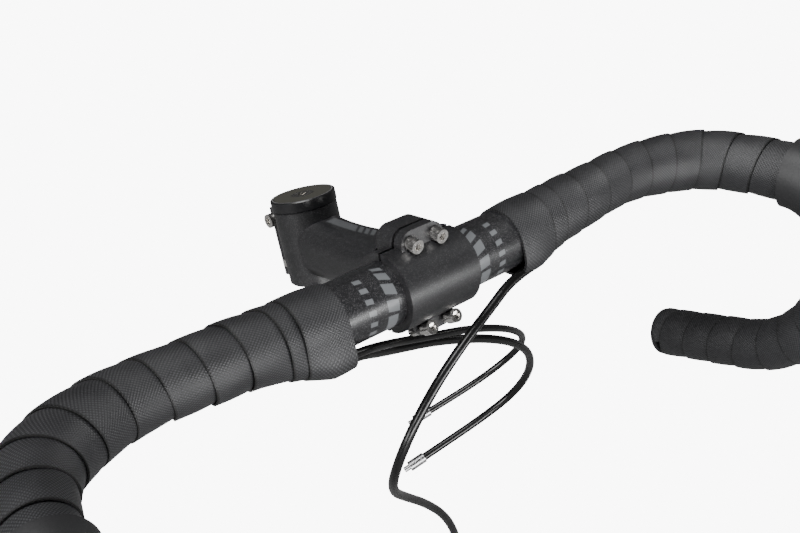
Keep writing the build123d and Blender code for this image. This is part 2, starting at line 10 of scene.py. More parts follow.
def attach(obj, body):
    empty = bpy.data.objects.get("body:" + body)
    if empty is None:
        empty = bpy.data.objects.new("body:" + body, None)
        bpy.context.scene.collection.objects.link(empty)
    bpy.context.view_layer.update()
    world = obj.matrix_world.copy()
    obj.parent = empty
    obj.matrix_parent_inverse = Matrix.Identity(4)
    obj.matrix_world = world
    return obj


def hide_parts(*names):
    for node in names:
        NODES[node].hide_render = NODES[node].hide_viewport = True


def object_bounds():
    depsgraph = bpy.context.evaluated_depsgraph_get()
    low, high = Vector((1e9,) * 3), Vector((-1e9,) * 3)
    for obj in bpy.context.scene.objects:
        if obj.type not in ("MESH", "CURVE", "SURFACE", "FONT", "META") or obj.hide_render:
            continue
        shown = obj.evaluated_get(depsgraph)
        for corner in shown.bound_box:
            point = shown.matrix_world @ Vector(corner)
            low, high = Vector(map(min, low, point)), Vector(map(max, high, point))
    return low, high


bl_info = {
    "name": "Drop Handlebar Cockpit",
    "version": (1, 0, 0),
    "blender": (4, 5, 0),
    "location": "View3D > Sidebar > Cockpit",
    "description": "Winds the tape, lays the casings and finishes every piece of a drop handlebar",
    "category": "Object",
}

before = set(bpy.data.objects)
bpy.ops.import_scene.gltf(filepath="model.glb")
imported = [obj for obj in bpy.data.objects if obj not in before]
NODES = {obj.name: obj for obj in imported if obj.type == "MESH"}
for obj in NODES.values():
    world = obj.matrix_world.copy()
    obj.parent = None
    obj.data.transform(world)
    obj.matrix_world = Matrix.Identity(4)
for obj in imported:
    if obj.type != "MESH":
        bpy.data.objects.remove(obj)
CAD_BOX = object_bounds()

# Middle of the bar clamp in the row frame, from the stem's rake and length, in millimetres.
STEM_RAKE, STEM_RISE, STEM_LENGTH, CLAMP_OFFSET = 18.0, 12.0, 90.0, 13.0
BAR_Y = CLAMP_OFFSET * math.sin(math.radians(STEM_RAKE)) - STEM_LENGTH * math.cos(math.radians(STEM_RISE))
BAR_Z = CLAMP_OFFSET * math.cos(math.radians(STEM_RAKE)) + STEM_LENGTH * math.sin(math.radians(STEM_RISE))
BAR_MIDDLE = np.array((0.0, BAR_Y, BAR_Z))

# Half of the bar's centre line: corners from the middle of the clamp, and the bend radius at each, in mm.
BAR_CORNERS = (
    (0.0, 0.0, 0.0),
    (60.0, 0.0, 0.0),
    (160.0, 3.0, 4.6),
    (200.5, -17.0, 7.6),
    (212.5, -52.0, 10.8),
    (219.0, -104.0, 14.5),
    (221.0, -104.0, -94.0),
    (223.0, -1.0, -134.5),
)
BAR_BENDS = (150.0, 88.0, 46.0, 120.0, 36.0, 74.0)

# Each casing's route from the middle of the clamp, in mm, with its diameter and its cap's node.
CASINGS = {
    "front_brake_casing": {
        "diameter": 5.0,
        "cap": "front_brake_ferrule",
        "stiffness": "stiff",
        "route": (
            (68.0, -16.6, -9.6),
            (48.0, -17.0, -11.0),
            (27.0, -21.0, -20.5),
            (7.0, -25.0, -28.0),
            (-14.0, -28.0, -42.0),
            (-31.0, -30.0, -60.0),
            (-40.0, -28.5, -82.0),
            (-33.0, -18.5, -106.0),
            (-14.0, -6.5, -131.0),
            (8.0, 1.5, -156.0),
            (27.0, 5.0, -181.0),
            (40.0, 8.0, -209.0),
            (46.0, 12.0, -236.0),
            (47.5, 15.0, -258.0),
        ),
    },
    "rear_shift_casing": {
        "diameter": 4.2,
        "cap": "rear_shift_ferrule",
        "stiffness": "stiff",
        "route": (
            (-68.0, -16.6, -9.6),
            (-48.0, -15.2, -12.2),
            (-30.0, -8.0, -21.5),
            (-11.0, -1.5, -31.5),
            (10.0, 1.0, -39.8),
            (32.0, 2.5, -47.0),
            (56.0, 5.0, -58.0),
            (79.0, 9.5, -72.0),
            (99.0, 17.5, -90.5),
            (106.0, 28.0, -110.0),
            (95.0, 38.5, -127.5),
            (76.0, 46.5, -139.5),
            (56.0, 52.5, -147.5),
        ),
    },
    "rear_brake_casing": {
        "diameter": 5.0,
        "cap": "rear_brake_ferrule",
        "stiffness": "stiff",
        "route": (
            (-68.0, -12.4, -14.7),
            (-48.0, -11.0, -17.0),
            (-29.0, -4.0, -28.5),
            (-9.0, 2.5, -39.0),
            (13.0, 5.5, -47.5),
            (36.0, 7.5, -57.5),
            (60.0, 8.5, -69.0),
            (83.0, 10.0, -83.5),
            (103.0, 15.0, -104.0),
            (114.0, 24.0, -129.0),
            (112.0, 34.5, -152.0),
            (95.0, 43.5, -168.0),
            (74.0, 50.0, -178.5),
            (54.0, 54.5, -186.0),
        ),
    },
}

# Where each turn's outer edge lies along the bar, from the tape's edge, at every half turn, mm.
# The first is underneath.
WOUND_EDGES = {
    "left": (21.0, 25.0, 30.0, 37.0, 46.0, 55.0, 65.0, 75.0, 85.0, 94.0, 103.0, 112.0, 121.0, 130.0, 139.0),
    "right": (22.0, 25.0, 28.0, 34.0, 46.5, 52.7, 63.5, 70.9, 81.0, 91.0, 104.0, 109.0, 122.0, 131.0, 140.0),
}
TAPE_EDGE = 54.0
# Middle radius of the wound surface along the bar, from the tape's edge, mm.
TAPE_RADII = (
    (0, 17.6),
    (12, 17.5),
    (30, 16.5),
    (48, 16.3),
    (65, 15.6),
    (81, 14.9),
    (98, 15.2),
    (114, 15.8),
    (130, 16.6),
    (150, 16.8),
    (170, 16.3),
    (200, 16.0),
    (330, 15.4),
    (700, 15.3),
)
TAPE_THICKNESS = 1.5
MEAN_TAPE_RADIUS = 15.2  # for the length of tape in the turns, mm
TURN_PARTS = 56  # parts that one turn is made in
# Ends of the stretch that each hood covers, from the middle of the clamp, mm.
HOOD_ENDS = ((216.5, -79.0, 11.0), (219.8, -104.0, -26.0))
# Casings under each tape: angle from the top towards the back and spread, in radians, and rise in mm.
CASING_RISES = {
    "left": ((-2.09, 0.52, 4.4),),
    "right": ((-2.09, 0.34, 5.0), (-2.44, 0.34, 5.2)),
}

# Top cap along the steerer axis and across it, in metres.
CAP_TOP = (CLAMP_OFFSET + 21.0 + 5.6) / 1000
CAP_DISC_R, CAP_RING_R, CAP_RING_HALF = 0.0158, 0.0164, 0.0003


def to_row(points):
    """Points from the middle of the bar clamp in mm, in the row frame in metres."""
    return (np.asarray(points, float) + BAR_MIDDLE) / 1000


# ---------------------------------------------------------------- properties
class CockpitTape(bpy.types.PropertyGroup):
    """Sizes of the bar tape"""

    width: bpy.props.FloatProperty(
        name="Tape Width", description="Width of the tape before winding, mm", default=30.0, min=20, max=40
    )
    step: bpy.props.FloatProperty(
        name="Edge Step",
        description="Height of a turn's edge over the next turn, mm",
        default=0.95,
        min=0.2,
        max=2,
    )
    pitch: bpy.props.FloatProperty(
        name="Winding Pitch", description="Travel along the bar in one turn, mm", default=18.6, min=10, max=28
    )
    weave: bpy.props.FloatProperty(
        name="Weave Pitch", description="Spacing of the raised dots, mm", default=1.5, min=0.5, max=4
    )


class CockpitColours(bpy.types.PropertyGroup):
    """Colours of the finishes"""

    def tint(label, what, value):
        return bpy.props.FloatVectorProperty(
            name=label, description=what, default=value, subtype="COLOR", size=3, min=0, max=1
        )

    paint: tint("Paint", "Satin paint of stem and bar", (0.008, 0.008, 0.009))
    print: tint("Print", "Grey blocks printed on bar and stem", (0.12, 0.126, 0.132))
    tape: tint("Tape", "Ground of the bar tape", (0.009, 0.009, 0.010))
    dots: tint("Dots", "Raised dots of the bar tape", (0.046, 0.047, 0.050))
    rubber: tint("Rubber", "Hoods", (0.014, 0.014, 0.015))
    cap: tint("Cap", "Top cap's disc", (0.040, 0.039, 0.032))
    del tint


# ---------------------------------------------------------------- node helpers
class Tree:
    """Short calls for building a node tree."""

    def __init__(self, tree):
        self.tree = tree

    def node(self, kind, **settings):
        node = self.tree.nodes.new(kind)
        for name, value in settings.items():
            setattr(node, name, value)
        return node

    def feed(self, socket, value):
        if isinstance(value, bpy.types.NodeSocket):
            self.tree.links.new(value, socket)
        else:
            socket.default_value = value

    def math(self, operation, *values, clamp=False):
        node = self.node("ShaderNodeMath", operation=operation, use_clamp=clamp)
        for socket, value in zip(node.inputs, values):
            self.feed(socket, value)
        return node.outputs[0]

    def smooth(self, value, low, high, start=0.0, end=1.0):
        """Goes smoothly from start to end as value goes from low to high."""
        node = self.node("ShaderNodeMapRange", interpolation_type="SMOOTHSTEP")
        for socket, setting in zip(node.inputs, (value, low, high, start, end)):
            self.feed(socket, setting)
        return node.outputs[0]

    def mix(self, share, first, second):
        node = self.node("ShaderNodeMix", data_type="RGBA")
        self.feed(node.inputs["Factor"], share)
        self.feed(node.inputs[6], first)
        self.feed(node.inputs[7], second)
        return node.outputs[2]

    def noise(self, place, scale, detail=2.0, roughness=0.5):
        node = self.node("ShaderNodeTexNoise")
        self.feed(node.inputs["Vector"], place)
        node.inputs["Scale"].default_value = scale
        node.inputs["Detail"].default_value = detail
        node.inputs["Roughness"].default_value = roughness
        return node.outputs["Fac"]

    def split(self, vector):
        node = self.node("ShaderNodeSeparateXYZ")
        self.feed(node.inputs[0], vector)
        return node.outputs

    def place(self):
        return self.node("ShaderNodeTexCoord").outputs["Object"]

    def group(self, group, **inputs):
        node = self.node("ShaderNodeGroup", node_tree=group)
        for name, value in inputs.items():
            self.feed(node.inputs[name.replace("_", " ")], value)
        return node.outputs

    def dot(self, first, second):
        node = self.node("ShaderNodeVectorMath", operation="DOT_PRODUCT")
        self.feed(node.inputs[0], first)
        self.feed(node.inputs[1], second)
        return node.outputs["Value"]

    def bump(self, height, distance):
        node = self.node("ShaderNodeBump")
        node.inputs["Distance"].default_value = distance
        self.feed(node.inputs["Height"], height)
        return node.outputs["Normal"]


def new_group(name, inputs, outputs):
    """A shader node group with named sockets; returns its tree, its input sockets and its output node."""
    group = bpy.data.node_groups.new(name, "ShaderNodeTree")
    for label, kind, value in inputs:
        socket = group.interface.new_socket(label, in_out="INPUT", socket_type=kind)
        if value is not None:
            socket.default_value = value
    for label, kind in outputs:
        group.interface.new_socket(label, in_out="OUTPUT", socket_type=kind)
    tree = Tree(group)
    return group, tree, tree.node("NodeGroupInput").outputs, tree.node("NodeGroupOutput").inputs


def material(name, metallic=0.0, roughness=0.5, **settings):
    """A new material with one Principled shader; returns the material, its tree and the shader."""
    made = bpy.data.materials.new(name)
    made.use_nodes = True
    made.node_tree.nodes.clear()
    tree = Tree(made.node_tree)
    shader = tree.node("ShaderNodeBsdfPrincipled")
    shader.inputs["Metallic"].default_value = metallic
    shader.inputs["Roughness"].default_value = roughness
    for label, value in settings.items():
        shader.inputs[label.replace("_", " ")].default_value = value
    out = tree.node("ShaderNodeOutputMaterial")
    tree.feed(out.inputs["Surface"], shader.outputs[0])
    return made, tree, shader


def colour(values):
    return (*values, 1.0)


def group_once(name, build):
    """The node group of that name, built on first use."""
    return bpy.data.node_groups.get(name) or build(name)


FLOAT, VECTOR, COLOUR = "NodeSocketFloat", "NodeSocketVector", "NodeSocketColor"


def speckled_paint(name):
    """Satin powder paint: fine metallic flakes, orange peel and faint handling marks."""
    group, tree, given, out = new_group(
        name,
        [
            ("Place", VECTOR, None),
            ("Paint", COLOUR, (0.02, 0.02, 0.02, 1)),
            ("Flakes", FLOAT, 0.3),
            ("Roughness", FLOAT, 0.36),
        ],
        [("Color", COLOUR), ("Roughness", FLOAT), ("Height", FLOAT)],
    )
    cells = tree.node("ShaderNodeTexVoronoi")
    tree.feed(cells.inputs["Vector"], given["Place"])
    cells.inputs["Scale"].default_value = 4200.0
    fine = tree.split(cells.outputs["Color"])[0]
    flake = tree.math("MULTIPLY", tree.smooth(fine, 0.80, 0.98), given["Flakes"])
    wide = tree.noise(given["Place"], 42.0, 3.0)
    dulled = tree.mix(tree.math("MULTIPLY", wide, 0.3), given["Paint"], (0.016, 0.016, 0.017, 1))
    tree.feed(out["Color"], tree.mix(flake, dulled, (0.30, 0.30, 0.31, 1)))
    marks = tree.math("MULTIPLY_ADD", wide, 0.10, given["Roughness"])
    tree.feed(out["Roughness"], tree.math("MULTIPLY_ADD", flake, -0.12, marks))
    peel = tree.noise(given["Place"], 900.0, 1.0)
    tree.feed(out["Height"], tree.math("MULTIPLY_ADD", flake, 0.7, tree.math("MULTIPLY", peel, 0.6)))
    return group


def woven_tape(name):
    """Tape face: slanting rows of raised dots, and a thin ragged dark line at the outer edge that is painted
    shade at the step over the next turn, together with the tape's own ragged edge.
    """
    group, tree, given, out = new_group(
        name,
        [
            ("Lay", VECTOR, None),
            ("Pitch", FLOAT, 0.0015),
            ("Ground", COLOUR, (0.02, 0.02, 0.02, 1)),
            ("Dots", COLOUR, (0.06, 0.06, 0.06, 1)),
        ],
        [("Color", COLOUR), ("Roughness", FLOAT), ("Height", FLOAT)],
    )
    along, across, edge = tree.split(given["Lay"])
    rows = []
    for sign in (0.8, -0.8):
        slant = tree.math("MULTIPLY_ADD", across, sign, along)
        turns = tree.math("MULTIPLY", tree.math("DIVIDE", slant, given["Pitch"]), math.pi)
        rows.append(tree.math("POWER", tree.math("ABSOLUTE", tree.math("SINE", turns)), 1.4))
    dots = tree.math("MULTIPLY", *rows)
    wear = tree.noise(given["Lay"], 55.0, 3.0)
    lift = tree.math("MULTIPLY", dots, tree.smooth(wear, 0.2, 0.8, 0.72, 1.0))
    woven = tree.mix(lift, given["Ground"], given["Dots"])
    # Painted shade: this dark ragged line at each turn's outer edge stands in for the shadow under the step,
    # with a notched edge of the tape's own.
    notch = tree.math("PINGPONG", tree.math("DIVIDE", along, given["Pitch"]), 0.5)
    reach = tree.math("MULTIPLY_ADD", notch, 0.0008, 0.00055)
    line = tree.math("LESS_THAN", edge, reach)
    tree.feed(out["Color"], tree.mix(tree.math("MULTIPLY", line, 0.88), woven, (0.003, 0.003, 0.003, 1)))
    tree.feed(out["Roughness"], tree.smooth(wear, 0.25, 0.75, 0.42, 0.54))
    tree.feed(out["Height"], tree.math("SUBTRACT", dots, tree.math("MULTIPLY", line, 0.6)))
    return group


def printed_bands(name):
    """Grey slanting blocks round the bar on both sides of the clamp; 1 where there is print."""
    group, tree, given, out = new_group(name, [("Place", VECTOR, None)], [("Mask", FLOAT)])
    x, y, z = tree.split(given["Place"])
    forward = tree.math("SUBTRACT", BAR_MIDDLE[1] / 1000, y)
    height = tree.math("SUBTRACT", z, BAR_MIDDLE[2] / 1000)
    arc = tree.math("MULTIPLY", tree.math("ARCTAN2", height, forward), 15.9)
    out_mm = tree.math("MULTIPLY", tree.math("ABSOLUTE", x), 1000.0)
    total = 0.0
    blocks = [
        (26.4, 32.4, 0.10, -13.0, -0.5),
        (25.6, 32.0, 0.22, 1.2, 7.0),
        (25.2, 31.4, 0.34, 9.6, 15.0),
        (25.0, 30.6, 0.42, 17.2, 21.6),
        (25.0, 29.8, 0.46, 23.4, 26.0),
    ] + [(38.5, 42.6, 0.12, start, start + 2.6) for start in (-9.0, -3.4, 2.2, 7.8, 13.4, 19.0)]
    for inner, outer, slant, low, high in blocks:
        level = tree.math("MULTIPLY_ADD", out_mm, -slant, arc)
        bounds = [
            tree.math("GREATER_THAN", out_mm, inner),
            tree.math("LESS_THAN", out_mm, outer),
            tree.math("GREATER_THAN", level, low - slant * 28),
            tree.math("LESS_THAN", level, high - slant * 28),
        ]
        inside = bounds[0]
        for bound in bounds[1:]:
            inside = tree.math("MULTIPLY", inside, bound)
        total = tree.math("ADD", total, inside)
    tree.feed(out["Mask"], tree.math("MINIMUM", total, 1.0))
    return group


def scuffs(name):
    """Colour and roughness change of moulded rubber or plastic, with a fine grain."""
    group, tree, given, out = new_group(
        name,
        [
            ("Place", VECTOR, None),
            ("Base", COLOUR, (0.02, 0.02, 0.02, 1)),
            ("Grain", FLOAT, 1800.0),
            ("Roughness", FLOAT, 0.55),
        ],
        [("Color", COLOUR), ("Roughness", FLOAT), ("Height", FLOAT)],
    )
    wide = tree.noise(given["Place"], 30.0, 4.0)
    grain = tree.node("ShaderNodeTexNoise")
    tree.feed(grain.inputs["Vector"], given["Place"])
    tree.feed(grain.inputs["Scale"], given["Grain"])
    rubbed = tree.smooth(wide, 0.45, 0.8, 0.0, 0.30)
    tree.feed(out["Color"], tree.mix(rubbed, given["Base"], (0.028, 0.028, 0.030, 1)))
    tree.feed(out["Roughness"], tree.math("MULTIPLY_ADD", wide, 0.14, given["Roughness"]))
    tree.feed(out["Height"], grain.outputs["Fac"])
    return group


def finish_paint(name, base, flakes, roughness, printed=None):
    """Speckled satin paint, with print where the mask builder gives one."""
    made, tree, shader = material(
        name, roughness=roughness, Specular_IOR_Level=0.5, Coat_Weight=0.12, Coat_Roughness=0.32
    )
    place = tree.place()
    group = group_once("Speckled Paint", speckled_paint)
    paint = tree.group(group, Place=place, Paint=colour(base), Flakes=flakes, Roughness=roughness)
    shown = paint["Color"]
    if printed is not None:
        grey = colour(bpy.context.scene.cockpit_colours.print)
        shown = tree.mix(printed(tree, place), shown, grey)
    tree.feed(shader.inputs["Base Color"], shown)
    tree.feed(shader.inputs["Roughness"], paint["Roughness"])
    tree.feed(shader.inputs["Normal"], tree.bump(paint["Height"], 0.00002))
    return made


def finish_moulded(name, base, roughness, grain=1800.0, depth=0.00004, coat=0.0):
    """Rubber or plastic with a fine grain."""
    made, tree, shader = material(name, roughness=roughness, Coat_Weight=coat, Coat_Roughness=0.15)
    group = group_once("Moulded Scuffs", scuffs)
    skin = tree.group(group, Place=tree.place(), Base=colour(base), Grain=grain, Roughness=roughness)
    tree.feed(shader.inputs["Base Color"], skin["Color"])
    tree.feed(shader.inputs["Roughness"], skin["Roughness"])
    tree.feed(shader.inputs["Normal"], tree.bump(skin["Height"], depth))
    return made


def finish_metal(name, base, roughness):
    """Turned metal with fine marks."""
    made, tree, shader = material(name, metallic=1.0, roughness=roughness)
    place = tree.place()
    marks = tree.noise(place, 600.0, 3.0)
    tree.feed(shader.inputs["Base Color"], tree.mix(marks, colour([0.72 * v for v in base]), colour(base)))
    tree.feed(shader.inputs["Roughness"], tree.smooth(marks, 0.3, 0.7, roughness * 0.8, roughness * 1.4))
    tree.feed(shader.inputs["Normal"], tree.bump(marks, 0.000004))
    return made


def dress(node, made):
    """Puts one material on a CAD node."""
    slots = NODES[node].material_slots
    if not slots:
        raise RuntimeError(f"{node} has no material slot")
    for held in slots:
        held.material = made


# ---------------------------------------------------------------- geometry helpers
def rounded_line(corners, radii, step=0.75):
    """Evenly spaced points along straight runs whose corners are arcs, with the distance along at each."""
    corners = [np.array(corner, float) for corner in corners]
    points = [corners[0]]
    for before, here, after, radius in zip(corners, corners[1:], corners[2:], radii):
        into = (here - before) / np.linalg.norm(here - before)
        out = (after - here) / np.linalg.norm(after - here)
        turn = math.acos(np.clip(into @ out, -1, 1))
        cut = radius * math.tan(turn / 2)
        middle = here + (out - into) / np.linalg.norm(out - into) * radius / math.cos(turn / 2)
        start, end = here - into * cut - middle, here + out * cut - middle
        for share in np.linspace(0, 1, 24):
            arm = start * math.sin((1 - share) * turn) + end * math.sin(share * turn)
            points.append(middle + arm / math.sin(turn))
    points.append(corners[-1])
    points = np.array(points)
    along = np.r_[0, np.cumsum(np.linalg.norm(np.diff(points, axis=0), axis=1))]
    even = np.arange(0, along[-1], step)
    return even, np.stack([np.interp(even, along, points[:, axis]) for axis in range(3)], axis=1)


def carried_frames(points):
    """Direction, upright and sideways unit vectors along a line, turning as little as possible."""
    ahead = np.gradient(points, axis=0)
    ahead /= np.linalg.norm(ahead, axis=1)[:, None]
    up = np.zeros_like(points)
    up[0] = (0, 0, 1)
    for index in range(1, len(points)):
        carried = up[index - 1] - ahead[index] * (up[index - 1] @ ahead[index])
        up[index] = carried / np.linalg.norm(carried)
    return ahead, up, np.cross(ahead, up)


def bar_radius(x):
    """Bare bar radius at a distance across from the clamp's middle."""
    return np.interp(x, (66.0, 100.0), (15.9, 11.9))


def wind(side, tape, windows, rises):
    """The wound tape of one side: (vertices, faces, lay of each vertex, length of tape) in the row frame.

    Each turn shows from its neighbour's edge to its own, and its hidden part is tucked under the turn nearer
    the stem. windows are stretches along the bar, in mm from the tape's edge.
    rises are the casings under the tape.
    """
    mirror = -1.0 if side == "right" else 1.0
    along, line = rounded_line(BAR_CORNERS, BAR_BENDS)
    first = int(np.searchsorted(line[:, 0], TAPE_EDGE))
    along, line = along[first:] - along[first], line[first:]
    bare = bar_radius(line[:, 0]) + 0.05
    line = line * (mirror, 1, 1)
    ahead, up, aside = carried_frames(line)
    aside = aside * -mirror
    angles = np.arange(TURN_PARTS) / TURN_PARTS * 2 * math.pi
    edges = np.array(WOUND_EDGES[side])
    known = len(edges) - 1
    steps = np.arange(0, 80 * TURN_PARTS)

    def edge_at(step):
        halves = step / (TURN_PARTS / 2)
        beyond = edges[-1] + (halves - known) * tape.pitch / 2
        return np.where(halves < known, np.interp(halves, np.arange(known + 1), edges), beyond)

    outer = edge_at(steps)
    last = int(np.searchsorted(outer, along[-1] + tape.pitch - 4))
    neighbour = np.where(steps < TURN_PARTS, 0.0, edge_at(steps - TURN_PARTS))
    hidden = np.array([0, 0.15, 0.35, 0.6, 0.8, 0.93])
    shown = np.array([0, 0.03, 0.08, 0.16, 0.28, 0.42, 0.56, 0.7, 0.82, 0.91, 0.96, 0.985, 1.0])
    random = np.random.default_rng(7 if side == "left" else 8)
    sway = random.normal(0, 1, (9, 2))
    rows = []
    for step in range(last):
        column = (TURN_PARTS // 2 + step) % TURN_PARTS
        low, high = neighbour[step], min(outer[step], along[-1])
        inner = max(high - tape.width, 0.0)
        under = low - (low - inner) * (1 - hidden)
        where = np.r_[under, low + (high - low) * shown]
        surface = np.interp(where, *zip(*TAPE_RADII))
        turned = angles[column]
        for middle, reach, rise in rises:
            off = (turned - middle + math.pi) % (2 * math.pi) - math.pi
            surface += rise * np.clip((44 - where) / 34, 0, 1) ** 1.3 * math.exp(-((off / reach) ** 2))
        turns_wound = step / TURN_PARTS
        swell = sum(
            size * math.sin(turned * (wave % 3 + 1) + phase + turns_wound * (0.7 + 0.3 * wave))
            for wave, (size, phase) in enumerate(sway)
        )
        step_down = tape.step * (1 + 0.12 * swell)
        depth = low - under
        covered = -0.5 * step_down - 1.05 * (1 - np.exp(-depth / 1.6)) - 0.02 * depth
        crown = 0.28 * np.sin(math.pi * shown) * (high - low) / tape.pitch
        open_part = step_down * (-0.5 + shown**0.8) + crown
        above = surface + np.r_[covered, open_part]
        from_edge = np.minimum(1, (1 - shown) / 0.2)
        thin = TAPE_THICKNESS - 0.7
        thick = np.r_[np.full(len(hidden), thin), thin + 0.7 * np.sin(from_edge * math.pi / 2)]
        floor = np.interp(where, along, bare)
        above = np.maximum(above, floor + 0.3)
        below = np.maximum(above - thick, floor + 0.02)
        above[0] = below[0] + 0.15
        rows.append((step, column, where, below, above))
    vertices, lays, faces, wound = [], [], [], 0.0
    count = len(hidden) + len(shown)
    for low, high in windows:
        chosen = [row for row in rows if row[2][-1] >= low and row[2][0] <= high]
        start = len(vertices)
        for step, column, where, below, above in chosen:
            travelled = step * 16.0 * 2 * math.pi / TURN_PARTS
            across = where - outer[step]
            where = np.clip(where, low, high)
            spot = np.stack([np.interp(where, along, line[:, axis]) for axis in range(3)], axis=1)
            lift = np.stack([np.interp(where, along, up[:, axis]) for axis in range(3)], axis=1)
            swing = np.stack([np.interp(where, along, aside[:, axis]) for axis in range(3)], axis=1)
            out = lift * math.cos(angles[column]) + swing * math.sin(angles[column])
            for radii, level in ((above, 0.0), (below, 1.0)):
                vertices.extend(to_row(spot + out * radii[:, None]))
                for place in across:
                    lays.append((travelled / 1000, (place + 40) / 1000, (-place - level) / 1000))
        turns = len(chosen)
        wound += (turns - 1) / TURN_PARTS * 2 * math.pi * MEAN_TAPE_RADIUS
        for row in range(turns):
            base = start + row * 2 * count
            for column in range(count - 1):
                top, under = base + column, base + count + column
                if row < turns - 1:
                    ahead_top, ahead_under = top + 2 * count, under + 2 * count
                    faces.append((top, top + 1, ahead_top + 1, ahead_top))
                    faces.append((under, ahead_under, ahead_under + 1, under + 1))
                if row == 0:
                    faces.append((top, under, under + 1, top + 1))
                if row == turns - 1:
                    faces.append((top, top + 1, under + 1, under))
            if row < turns - 1:
                for column, flip in ((0, False), (count - 1, True)):
                    corner = base + column
                    quad = (corner, corner + 2 * count, corner + 3 * count, corner + count)
                    faces.append(quad[::-1] if flip else quad)
    if side == "left":
        faces = [face[::-1] for face in faces]
    return vertices, faces, lays, wound / 1000


# ---------------------------------------------------------------- operators
class COCKPIT_OT_casings(bpy.types.Operator):
    """Lays the three cable casings on smooth curves"""

    bl_idname = "cockpit.casings"
    bl_label = "Lay Casings"

    def execute(self, context):
        made, tree, shader = material(
            "Casing Gloss", roughness=0.3, Coat_Weight=0.2, Coat_Roughness=0.05, Specular_IOR_Level=0.35
        )
        group = group_once("Moulded Scuffs", scuffs)
        black = (0.004, 0.004, 0.004, 1)
        skin = tree.group(group, Place=tree.place(), Base=black, Grain=900.0, Roughness=0.20)
        tree.feed(shader.inputs["Base Color"], skin["Color"])
        tree.feed(shader.inputs["Roughness"], skin["Roughness"])
        tree.feed(shader.inputs["Normal"], tree.bump(skin["Height"], 0.00002))
        cap_metal = finish_metal("Casing Cap Metal", (0.55, 0.55, 0.56), 0.3)
        for name, casing in CASINGS.items():
            curve = bpy.data.curves.new(name, "CURVE")
            curve.dimensions = "3D"
            curve.bevel_depth = casing["diameter"] / 2000
            curve.bevel_resolution = 6
            curve.resolution_u = 10
            curve.use_fill_caps = True
            route = to_row(casing["route"])
            spline = curve.splines.new("NURBS")
            spline.points.add(len(route) - 1)
            for point, place in zip(spline.points, route):
                point.co = (*place, 1.0)
            spline.order_u = 3
            spline.use_endpoint_u = True
            piece = bpy.data.objects.new(f"{name}_line", curve)
            context.scene.collection.objects.link(piece)
            curve.materials.append(made)
            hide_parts(name)
            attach(piece, "handlebar")
            dress(casing["cap"], cap_metal)
        return {"FINISHED"}


class COCKPIT_OT_tape(bpy.types.Operator):
    """Winds the tape on both sides of the bar"""

    bl_idname = "cockpit.tape"
    bl_label = "Wind Tape"

    def execute(self, context):
        tape, tints = context.scene.cockpit_tape, context.scene.cockpit_colours
        made, tree, shader = material("Bar Tape Weave", roughness=0.55, Sheen_Weight=0.0)
        lay = tree.node("ShaderNodeAttribute", attribute_name="lay").outputs["Vector"]
        group = group_once("Woven Tape", woven_tape)
        woven = tree.group(
            group, Lay=lay, Pitch=tape.weave / 1000, Ground=colour(tints.tape), Dots=colour(tints.dots)
        )
        tree.feed(shader.inputs["Base Color"], woven["Color"])
        tree.feed(shader.inputs["Roughness"], woven["Roughness"])
        tree.feed(shader.inputs["Normal"], tree.bump(woven["Height"], 0.00012))
        along, line = rounded_line(BAR_CORNERS, BAR_BENDS)
        first = int(np.searchsorted(line[:, 0], TAPE_EDGE))
        end = along[-1] - along[first]
        nearest = [np.argmin(np.linalg.norm(line - spot, axis=1)) for spot in HOOD_ENDS]
        hook = [float(along[index] - along[first]) for index in nearest]
        windows = ((0.0, hook[0]), (hook[1], end))
        for side in ("left", "right"):
            vertices, faces, lays, wound = wind(side, tape, windows, CASING_RISES[side])
            mesh = bpy.data.meshes.new(f"bar_tape_{side}_wound")
            mesh.from_pydata([tuple(vertex) for vertex in vertices], [], faces)
            mesh.validate()
            values = mesh.attributes.new("lay", "FLOAT_VECTOR", "POINT")
            values.data.foreach_set("vector", np.array(lays, np.float32).ravel())
            mesh.polygons.foreach_set("use_smooth", [True] * len(mesh.polygons))
            mesh.set_sharp_from_angle(angle=math.radians(50))
            mesh.materials.append(made)
            piece = bpy.data.objects.new(f"bar_tape_{side}_wound", mesh)
            context.scene.collection.objects.link(piece)
            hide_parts(f"bar_tape_{side}")
            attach(piece, "handlebar")
        return {"FINISHED"}


class COCKPIT_OT_handlebar(bpy.types.Operator):
    """Paints the bar and its end plugs"""

    bl_idname = "cockpit.handlebar"
    bl_label = "Paint Handlebar"

    def execute(self, context):
        tints = context.scene.cockpit_colours

        def bands(tree, place):
            return tree.group(group_once("Printed Bands", printed_bands), Place=place)["Mask"]

        dress("handlebar_tube", finish_paint("Bar Paint", tints.paint, 0.30, 0.28, bands))
        plug = finish_moulded("Plug Plastic", (0.016, 0.016, 0.017), 0.5)
        for side in ("left", "right"):
            dress(f"end_plug_{side}", plug)
        return {"FINISHED"}


